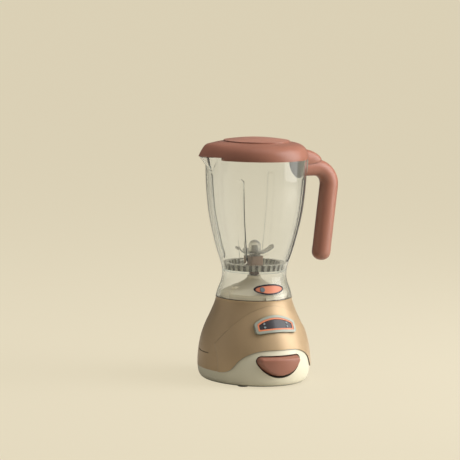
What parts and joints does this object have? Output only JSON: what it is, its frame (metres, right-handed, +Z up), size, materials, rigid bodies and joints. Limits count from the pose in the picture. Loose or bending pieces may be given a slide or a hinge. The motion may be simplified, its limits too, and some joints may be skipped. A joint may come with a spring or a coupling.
{
  "type": "toy blender",
  "caption": "Toy kitchen blender: bell-shaped base with half-moon button and display, clear hourglass jar with blades, lid and hooked handle.",
  "frame": {"origin": "on the axis of the jar, in the plane of the feet that the blender stands on", "axes": "+Z up along the jar's axis, -Y towards the front with the display and the button, +X towards the handle"},
  "size_m": [0.1441, 0.1133, 0.225],
  "materials": {
    "badge_orange": "printed",
    "black_plastic": "matt",
    "black_rubber": "matt",
    "blade_plastic": "pale grey",
    "board_green": "solder mask",
    "brown_plastic": "brown",
    "cell_metal": "plain wrapped cell",
    "clear_plastic": "clear moulded",
    "contact_metal": "nickel plated",
    "cream_plastic": "smooth moulded",
    "dark_window": "smoked window",
    "deck_plastic": "smooth moulded",
    "grey_plastic": "grey",
    "lamp_lens": "frosted",
    "lens_dark": "lens",
    "motor_steel": "plated can",
    "navy_trim": "printed rim",
    "orange_trim": "glossy",
    "screw_steel": "zinc",
    "seal_rubber": "matt",
    "silver_trim": "pearl silver",
    "smoke_plastic": "smoked",
    "tan_plastic": "satin pearl",
    "terracotta_light": "glossy moulded",
    "terracotta_plastic": "glossy moulded"
  },
  "bodies": {
    "base": {"base_lower_shell": "cream_plastic", "base_upper_shell": "tan_plastic", "deck_hub": "deck_plastic", "display_bezel": "silver_trim", "display_trim": "orange_trim", "display_window": "dark_window", "display_lamps": "lamp_lens", "motor": "motor_steel", "motor_cup": "black_plastic", "battery_box": "black_plastic", "battery_cells": "cell_metal", "battery_contacts": "contact_metal", "housing_screws": "screw_steel", "rubber_feet": "black_rubber", "circuit_board": "board_green", "button_switch": "black_plastic", "speaker": "black_plastic"},
    "button": {"half_moon_button": "terracotta_plastic"},
    "drive": {"drive_tongue": "brown_plastic", "motor_shaft": "screw_steel"},
    "battery_door": {"battery_door": "cream_plastic", "battery_door_screw": "screw_steel"},
    "jar": {"jar": "clear_plastic", "blade_floor": "smoke_plastic", "bearing_block": "brown_plastic", "handle_plate": "grey_plastic", "handle_front_half": "terracotta_plastic", "handle_rear_half": "terracotta_plastic", "handle_screws": "screw_steel", "badge_rim": "navy_trim", "badge_plate": "badge_orange", "badge_lens": "lens_dark"},
    "blade_unit": {"blades": "blade_plastic", "blade_shaft": "screw_steel", "coupling_fork": "brown_plastic"},
    "lid": {"lid": "terracotta_plastic", "lid_top_panel": "terracotta_light", "lid_seal": "seal_rubber"}
  },
  "joints": [
    {"name": "button_press", "type": "slide", "parent": "base", "child": "button", "axis": [0, 1, 0], "range_m": [0, 0.0018], "stiffness_N_per_m": 400, "springref_m": -0.001},
    {"name": "drive_spin", "type": "hinge", "parent": "base", "child": "drive", "pos_m": [0, 0, 0.09], "axis": [0, 0, 1], "continuous": true},
    {"name": "battery_door_swing", "type": "hinge", "parent": "base", "child": "battery_door", "pos_m": [0, 0.0187, 0.0024], "axis": [1, 0, 0], "range_deg": [0, 95]},
    {"name": "jar_lift", "type": "slide", "parent": "base", "child": "jar", "axis": [0, 0, 1], "range_m": [0, 0.06]},
    {"name": "blade_spin", "type": "hinge", "parent": "jar", "child": "blade_unit", "pos_m": [0, 0, 0.11], "axis": [0, 0, 1], "continuous": true},
    {"name": "lid_lift", "type": "slide", "parent": "jar", "child": "lid", "axis": [0, 0, 1], "range_m": [0, 0.04]}
  ],
  "couplings": [
    {"joint": "drive_spin", "follows": "blade_spin", "ratio": 1}
  ]
}
